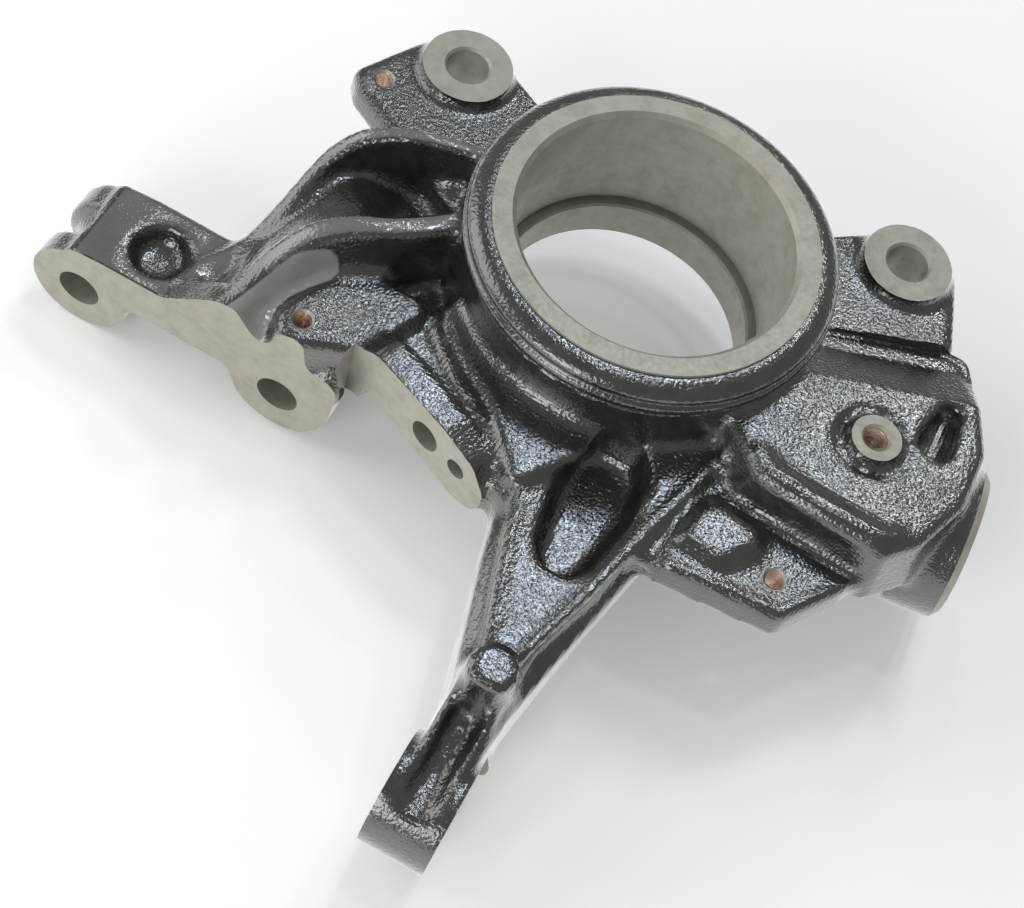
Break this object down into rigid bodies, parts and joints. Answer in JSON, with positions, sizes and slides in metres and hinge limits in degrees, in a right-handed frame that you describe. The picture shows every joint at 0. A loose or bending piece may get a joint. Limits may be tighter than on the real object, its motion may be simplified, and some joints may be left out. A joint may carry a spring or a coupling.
{
  "type": "steering knuckle",
  "caption": "Cast iron steering knuckle for a strut front axle, with machined bearing bore, strut lug, caliper ears, steering arm and ball joint boss, painted black",
  "frame": {"origin": "middle of the wheel bearing seat, on the bearing axis", "axes": "Z is the wheel bearing axis and points out of the open mouth; X runs from the strut lug towards the ball joint; Y is along the strut bolts, and the steering arm points to -Y"},
  "size_m": [0.2602, 0.2298, 0.0717],
  "materials": {
    "painted_casting": "semi-gloss black paint over rough cast iron, with bare machined faces"
  },
  "bodies": {
    "root": {"steering_knuckle": "painted_casting"}
  },
  "joints": []
}
